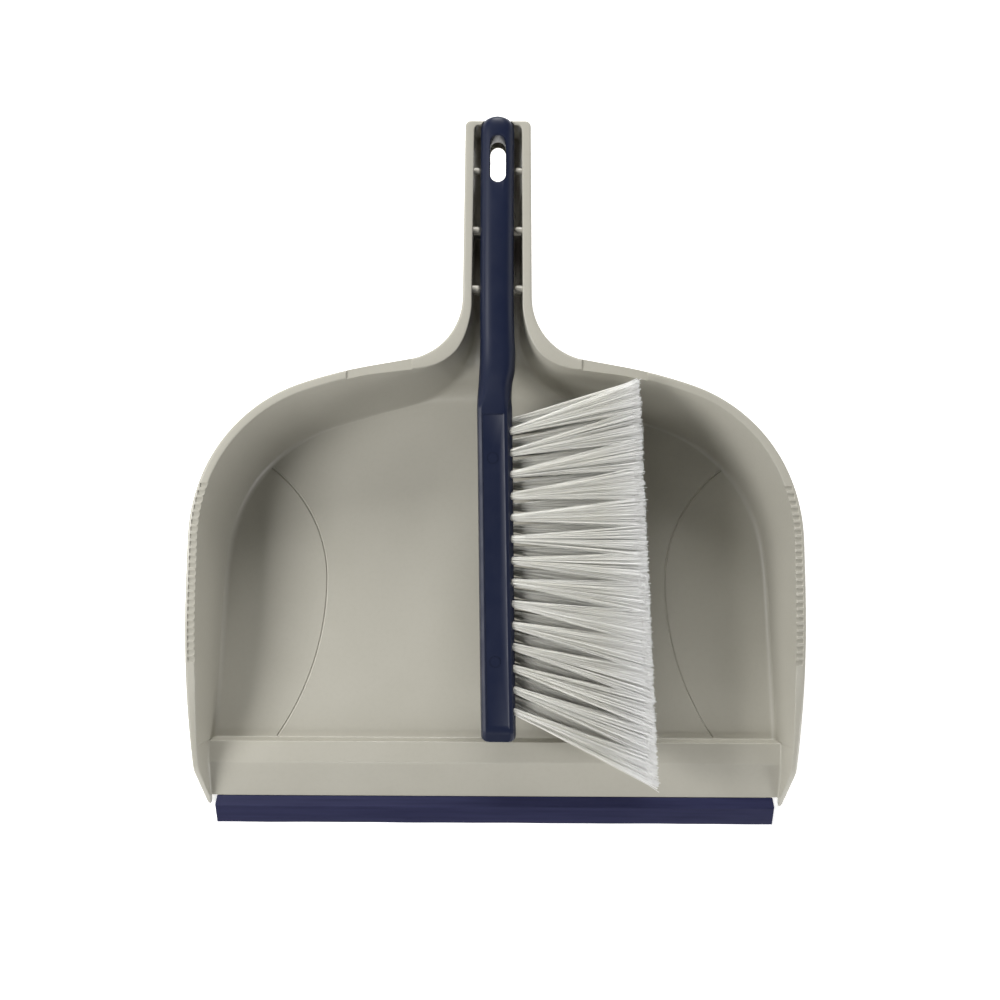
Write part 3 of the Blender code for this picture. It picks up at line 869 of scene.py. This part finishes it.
def floor_lines():
    """The cutters for the two curved lines in the pan's floor."""
    body = bmesh.new()
    route = []
    for radius, end in zip(LINE_RADII, LINE_ENDS):
        last = math.asin(end / radius)
        if end > 0:
            angles = [last * (1 - i / 24) for i in range(25)]
        else:
            angles = [last * i / 30 for i in range(1, 31)]
        route += [(LINE_X + radius - radius * math.cos(a), LINE_Y + radius * math.sin(a)) for a in angles]
    half, deep = LINE_HALF
    for side in (-1, 1):
        points = [Vector((side * x, y, FLOOR_TOP + 0.0001)) for x, y in route]
        rings = []
        for i, point in enumerate(points):
            ahead = (points[min(i + 1, len(points) - 1)] - points[max(i - 1, 0)]).normalized()
            across = ahead.cross(UP)
            ring = []
            for k in range(8):
                angle = math.pi * k / 4
                ring.append(point + (across * math.cos(angle) * half + UP * math.sin(angle) * deep))
            rings.append(ring)
        add_loft(body, rings)
    return body


def make_pan(material):
    """The pan, one moulding."""
    pan = new_object("pan_moulding", pan_body(), material)
    combine(pan, "UNION", pan_additions())
    slot = slot_cutter(CHANNEL_FLOOR - SHELL, CHANNEL_FLOOR, 0.0007)
    for cutter in (slot, end_notch(), shoulder_recesses(), cleaning_teeth(), floor_lines()):
        combine(pan, "DIFFERENCE", cutter)
    smooth(pan)
    return pan


# ---------------------------------------------------------------- the rubber lip


def make_lip(material):
    """A rubber wedge with a groove in its back that takes the pan's tongue, and a ridge along its top."""
    back = MOUTH - GAP
    groove_end = TONGUE_END - GAP
    groove_low, groove_high = LIP_GROOVE
    section = [
        (back, 0.0),
        (LIP_FRONT + LIP_SOFT, 0.0),
        (LIP_FRONT, LIP_SOFT),
        (LIP_FRONT, 0.0009),
        (LIP_FRONT + LIP_SOFT, 0.0013),
        (-0.1850, 0.0037),
        (-0.1832, 0.0044),
        (-0.1826, 0.00485),
        (-0.1821, 0.00485),
        (-0.1816, 0.0045),
        (back - 0.0006, RAMP_END + 0.00005),
        (back, RAMP_END - 0.0003),
        (back, groove_high),
        (groove_end, groove_high),
        (groove_end, groove_low),
        (back, groove_low),
    ]
    body = bmesh.new()
    rings = []
    for share in [-1, -0.9985, -0.995, *np.linspace(-0.98, 0.98, 60), 0.995, 0.9985, 1]:
        end = LIP_SOFT * max(0, (abs(share) - 0.9985) / 0.0015)
        ring = []
        for y, z in section:
            x = share * (LIP_HALF - np.interp(y, *LIP_INSET))
            drawn_in = y + end * np.sign(y + 0.185)
            if y < -0.19:
                drawn_in += 0.00006 * math.sin(71 * x + 1.3) + 0.00004 * math.sin(163 * x)
            ring.append((x, drawn_in, z + (end if z < 0.001 else -end)))
        rings.append(ring)
    add_loft(body, rings)
    lip = new_object("rubber_strip", body, material)
    smooth(lip, 40)
    return lip


# ---------------------------------------------------------------- the brush


def glide(x, xs, ys):
    """Interpolate through points with no overshoot and no kinks."""
    xs, ys = np.array(xs, float), np.array(ys, float)
    step = np.diff(xs)
    slope = np.diff(ys) / step
    tangent = np.zeros(len(xs))
    tangent[0], tangent[-1] = slope[0], slope[-1]
    same = slope[:-1] * slope[1:] > 0
    tangent[1:-1][same] = 2 * slope[:-1][same] * slope[1:][same] / (slope[:-1] + slope[1:])[same]
    i = int(np.clip(np.searchsorted(xs, x) - 1, 0, len(step) - 1))
    t = (x - xs[i]) / step[i]
    return (
        ys[i] * (1 + 2 * t) * (1 - t) ** 2
        + ys[i + 1] * t * t * (3 - 2 * t)
        + step[i] * (tangent[i] * t * (1 - t) ** 2 - tangent[i + 1] * t * t * (1 - t))
    )


def block_x(y):
    """The middle and half thickness of the block across the pan, which lean a little along its length."""
    part = (BLOCK_TOP - y) / (BLOCK_TOP - BLOCK_BOTTOM)
    return [a + (b - a) * part for a, b in zip(BLOCK_TOP_X, BLOCK_BOTTOM_X)]


# y, x, half width, half height, the corners' width and height, squareness, and the draft at each side
BRUSH_STATIONS = [
    (BLOCK_BOTTOM, 0.0019, 0.0068, 0.0130, 0.0012, 0.0006, 1.0, 0.0008, 0.0008),
    (BLOCK_BOTTOM + 0.0004, 0.0019, 0.0079, 0.0133, 0.0014, 0.0006, 1.0, 0.0009, 0.0010),
    (BLOCK_BOTTOM + 0.0012, 0.0019, 0.0088, 0.0136, 0.0016, 0.0006, 1.0, 0.0010, 0.0012),
    (BLOCK_BOTTOM + 0.0026, 0.0019, 0.0093, 0.0141, 0.0017, 0.0006, 1.0, 0.0010, 0.0013),
    (BLOCK_BOTTOM + 0.0056, 0.0018, 0.0093, 0.0150, 0.0017, 0.0007, 1.0, 0.0010, 0.0014),
    (BLOCK_TOP, -0.0011, 0.0094, 0.0150, 0.0017, 0.0007, 1.0, 0.0008, 0.0026),
    (0.0424, -0.0012, 0.0091, 0.0147, 0.0024, 0.0014, 0.7, 0.0006, 0.0015),
    (0.0503, -0.0008, 0.0090, 0.0134, 0.0040, 0.0040, 0.2, 0.0002, 0.0003),
    (0.0583, 0.0001, 0.0095, 0.0118, 0.0046, 0.0046, 0.0, 0.0, 0.0),
    (0.0660, 0.0004, 0.0095, 0.0108, 0.0050, 0.0050, 0.0, 0.0, 0.0),
    (0.0742, 0.0002, 0.0092, 0.0103, 0.0050, 0.0050, 0.0, 0.0, 0.0),
    (0.0900, -0.0001, 0.0090, 0.0100, 0.0050, 0.0050, 0.0, 0.0, 0.0),
    (0.1200, -0.0003, 0.0089, 0.0100, 0.0050, 0.0050, 0.0, 0.0, 0.0),
    (0.1930, -0.0003, 0.0089, 0.0100, 0.0050, 0.0050, 0.0, 0.0, 0.0),
]
CORNER_STEPS = 8


def block_corner(share, width, height):
    """A point on a flat chamfer with rounded ends, from the side (share 0) to the top (share 1)."""
    soft = 0.18
    if share < 0.5:
        t = share * 2
        low, turn, high = (0, -soft * height), (0, 0), (soft * width, soft * height)
    else:
        t = share * 2 - 1
        low = (width * (1 - soft), height * (1 - soft))
        turn, high = (width, height), (width * (1 + soft), height)
    return [bend(a, b, c, t) for a, b, c in zip(low, turn, high)]


def brush_ring(y, shrink=(1.0, 0.0)):
    """The brush's section at y: crowned like a pebble on the handle, drafted and chamfered on the block."""
    columns = list(zip(*BRUSH_STATIONS))
    x, half_x, half_z, wide, tall, square, *drafts = (glide(y, columns[0], column) for column in columns[1:])
    half_x *= shrink[0]
    half_z -= shrink[1]
    quarters = []
    for draft in drafts:
        shoulder = Vector((half_x - 0.15 * draft, 0.74 * (half_z - tall)))
        points = [Vector((half_x, 0)), shoulder.lerp(Vector((half_x, 0.02 * half_z)), 1 - square)]
        for i in range(CORNER_STEPS + 1):
            share = i / CORNER_STEPS
            angle = math.radians(8 + 74 * share)
            crown_x, crown_z = math.cos(angle) ** CROWN_POWER, math.sin(angle) ** CROWN_POWER
            crowned = Vector((half_x * crown_x, half_z * crown_z))
            inset, rise = block_corner(share, wide, tall)
            chamfered = Vector((half_x - draft - inset, half_z - tall + rise))
            points.append(crowned.lerp(chamfered, square))
        quarters.append(points)
    left, right = quarters
    top = right + [Vector((0, half_z))] + [Vector((-p.x, p.y)) for p in reversed(left)]
    ring = top + [Vector((p.x, -p.y)) for p in reversed(top[1:-1])]
    return [(x + p.x, y, BRUSH_Z + p.y) for p in ring]


def brush_rings():
    """Rings from the handle's round end to the end of the block."""
    rings = []
    for turn in (7, 15, 25, 35, 46, 57, 68, 79, 90):
        share = math.radians(turn)
        reach = math.sin(share) ** BRUSH_END_POWER
        y = BRUSH_END - BRUSH_END_DEPTH * (1 - max(0, math.cos(share)) ** BRUSH_END_POWER)
        rings.append(brush_ring(y, (reach, BRUSH_END_SOFT * (1 - math.sin(share)))))
    ys = [*np.linspace(0.182, 0.125, 8), *np.linspace(0.120, BLOCK_TOP + 0.0004, 42)]
    ys += [*np.linspace(BLOCK_TOP - 0.001, -0.130, 14)]
    steps = (0.0062, 0.0056, 0.0046, 0.0036, 0.0026, 0.0018, 0.0012, 0.0007, 0.0004, 0.0002, 0.0)
    ys += [BLOCK_BOTTOM + step for step in steps]
    return rings + [brush_ring(y) for y in ys]


def tuft_line(row, number):
    """Where a tuft leaves the block, and where the middle of its trimmed end is."""
    y = ROW_STARTS[row % 2] - TUFT_PITCH * number
    x, half = block_x(y)
    height = ROW_PITCH * (1.5 - row)
    root = Vector((x + half, y, BRUSH_Z + height))
    top, bottom = ROW_TIPS[row]
    tip_y = top + (bottom - top) * number / (TUFT_COUNT - 1)
    tip_x = TRIM_TOP + TRIM_SLOPE * (tip_y - ROW_TIPS[0][0])
    lean = ROW_LEAN * (3 - 2 * row)
    tip = Vector((tip_x, tip_y, root.z + math.tan(lean) * (tip_x - root.x)))
    return root, tip


def block_panels():
    """Sunken panels with sloping edges in both sides of the block, between its chamfers."""
    body = bmesh.new()
    for side in (-1, 1):
        face = BRUSH_Z + side * BLOCK_HALF_Z
        rings = []
        for depth, left, right in ((PANEL_DEPTH, 0.0004, 0.0008), (0.0, 0.0, 0.0), (-0.002, 0.0, 0.0)):
            grow = 0.0003 if depth <= 0 else -0.0004
            outline = []
            for (y, low, high), stretch, order in zip(PANEL_ENDS, (1, -3), (1, -1)):
                y += stretch * grow
                x, half = block_x(y)
                outline += [(x - half + low + left, y), (x + half - high - right, y)][::order]
            rings.append([(x, y, face - side * depth) for x, y in outline])
        add_loft(body, rings)
    return body


def ejector_marks(radius, low, high):
    """Round discs on both panels, from low to high over the panel's face."""
    body = bmesh.new()
    for side in (-1, 1):
        face = BRUSH_Z + side * (BLOCK_HALF_Z - PANEL_DEPTH)
        for y in MARK_Y:
            x = block_x(y)[0] - MARK_SHIFT
            ends = (x, y, face + side * low), (x, y, face + side * high)
            add_rod(body, *ends, [(0, radius), (1, radius)], 36)
    return body


def tuft_holes():
    """The round holes that the tufts stand in."""
    body = bmesh.new()
    radii = [(0, TUFT_HOLE), (1, TUFT_HOLE)]
    for row in range(len(ROW_TIPS)):
        for number in range(TUFT_COUNT):
            root, tip = tuft_line(row, number)
            along = (tip - root).normalized()
            add_rod(body, root - along * HOLE_DEPTH, root + along * 0.004, radii, 16)
    return body


def make_brush_body(material):
    """The brush's handle, neck and block, one moulding."""
    body = bmesh.new()
    add_loft(body, brush_rings())
    brush = new_object("brush_moulding", body, material)
    combine(brush, "DIFFERENCE", slot_cutter(BRUSH_Z - HANDLE_HALF_Z, BRUSH_Z + HANDLE_HALF_Z, 0.0011))
    combine(brush, "DIFFERENCE", block_panels())
    combine(brush, "DIFFERENCE", ejector_marks(0.0030, -0.0002, 0.0040))
    combine(brush, "UNION", ejector_marks(0.0027, -0.0010, 0.00005))
    combine(brush, "DIFFERENCE", tuft_holes())
    smooth(brush, 30)
    return brush


# ---------------------------------------------------------------- the bristles

FILAMENTS = 150
FILAMENT_RADIUS = 0.00014
STRAYS = 0.05
STRAY_SPREAD = 0.16
EVEN_SPREAD = 0.05
TIP_REACH = 0.0086
SWAY = 0.00022
FRIZZ = 0.00050


def filament_points(rng, root, tip):
    """The middle line of one filament: straight out of its hole, then spreading to the trimmed end."""
    along = (tip - root).normalized()
    side = along.cross(UP).normalized()
    over = side.cross(along)
    trim = Vector((TRIM_SLOPE, 1, 0)).normalized()
    across, up = rng.uniform(-1, 1), rng.uniform(-1, 1)
    squeeze = max(abs(across), abs(up)) / max(1e-6, math.hypot(across, up))
    start = (over * up - side * across) * squeeze * TUFT_RADIUS * 0.95
    loose = STRAY_SPREAD if rng.random() < STRAYS else EVEN_SPREAD
    across += rng.gauss(0, loose)
    up += rng.gauss(0, loose)
    end = trim * across * TIP_REACH + UP * up * TIP_HALF_Z * 0.92
    end += along * (rng.gauss(0, 0.0005) - 0.0004)
    sway = (side * rng.gauss(0, 1) + over * rng.gauss(0, 1)) * SWAY
    frizz = (side * rng.gauss(0, 1) + over * rng.gauss(0, 1)) * FRIZZ
    points = []
    for t in (-0.06, 0.0, 0.16, 0.45, 0.75, 0.92, 1.0):
        spread = max(0.0, t) ** 1.12
        bow = math.sin(math.pi * max(0.0, t))
        points.append(root.lerp(tip, t) + start * (1 - spread) + end * spread + sway * bow)
    points[-1] += frizz
    return points, side, over


def make_tuft(name, row, number, material):
    """A bundle of separate filaments, each a closed thin rod with three sides."""
    rng = random.Random(100 * row + number)
    root, tip = tuft_line(row, number)
    verts, faces = [], []
    for _ in range(FILAMENTS):
        points, side, over = filament_points(rng, root, tip)
        base = len(verts)
        first = rng.random() * 2 * math.pi
        for k, point in enumerate(points):
            radius = FILAMENT_RADIUS * (1.15 if k == len(points) - 1 else 1)
            for corner in range(3):
                angle = first + 2 * math.pi * corner / 3
                verts.append(point + (side * math.cos(angle) + over * math.sin(angle)) * radius)
        faces.append((base, base + 1, base + 2))
        for k in range(len(points) - 1):
            ring = base + 3 * k
            for corner in range(3):
                nxt = (corner + 1) % 3
                faces.append((ring + corner, ring + 3 + corner, ring + 3 + nxt, ring + nxt))
        last = base + 3 * (len(points) - 1)
        faces.append((last + 2, last + 1, last))
    mesh = bpy.data.meshes.new(name)
    mesh.from_pydata(verts, [], faces)
    mesh.materials.append(material)
    mesh.shade_smooth()
    return link_object(name, mesh)


# ---------------------------------------------------------------- the studio


def make_floor():
    """The white floor that the set lies on, which isn't part of it."""
    body = bmesh.new()
    bmesh.ops.create_grid(body, x_segments=1, y_segments=1, size=3.0)
    floor = new_object("studio_floor", body, floor_material())
    floor.location.z = CAD_BOX[0].z - 0.0002


def area_light(name, turn, rise, power, size=0.5, depth=0.5, distance=1.3):
    """A soft box aimed at the set, placed by its turn round it and its rise over the floor, in degrees."""
    data = bpy.data.lights.new(name, "AREA")
    data.shape = "RECTANGLE"
    data.size = size
    data.size_y = depth
    data.energy = power
    light = link_object(name, data)
    turn, rise = math.radians(turn), math.radians(rise)
    light.location = (
        distance * math.cos(rise) * math.cos(turn),
        distance * math.cos(rise) * math.sin(turn),
        distance * math.sin(rise),
    )
    light.rotation_euler = (-light.location).to_track_quat("-Z", "Y").to_euler()


def make_lights():
    """Soft boxes around the set, the strongest behind it and at its left, in a dim pale room."""
    area_light("back_box", 90, 28, 12.8)
    area_light("left_box", 182, 46, 11.0)
    area_light("front_left_box", 225, 30, 3.0)
    area_light("front_right_box", 315, 12, 6.0)
    area_light("right_box", 2, 18, 2.0)
    area_light("front_strip", 270, 52, 1.7, size=0.9, depth=0.2)
    world = bpy.data.worlds.new("room")
    bpy.context.scene.world = world
    world.use_nodes = True
    back = world.node_tree.nodes["Background"]
    back.inputs["Color"].default_value = (1.0, 1.0, 1.0, 1.0)
    back.inputs["Strength"].default_value = 0.035


def make_camera():
    """Straight above the set, as high as a copy stand."""
    data = bpy.data.cameras.new("camera")
    data.sensor_width = CAMERA_SENSOR
    data.lens = CAMERA_LENS
    camera = link_object("camera", data)
    camera.location = CAMERA_PLACE
    camera.rotation_euler = (0, 0, CAMERA_TURN)
    bpy.context.scene.camera = camera


def make_object():
    """Every piece, with the body it rides on, its finish and the CAD node it stands for."""
    plastic, navy, rubber, bristle = pan_plastic(), navy_plastic(), blue_rubber(), bristle_filament()
    pieces = [
        (make_pan(plastic), "pan", "pan", "pan_shell"),
        (make_lip(rubber), "pan", "rubber", "rubber_lip"),
        (make_brush_body(navy), "brush", "brush", "brush_body"),
    ]
    for row in range(len(ROW_TIPS)):
        for number in range(TUFT_COUNT):
            tag = f"{row + 1}_{number + 1:02d}"
            tuft = make_tuft(f"filaments_{tag}", row, number, bristle)
            pieces.append((tuft, "brush", "bristle", f"tuft_{tag}"))
    for piece, body, slot, node in pieces:
        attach(piece, body)
        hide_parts(node)


make_object()
make_floor()
make_lights()
make_camera()
bpy.context.scene.view_settings.view_transform = "Standard"
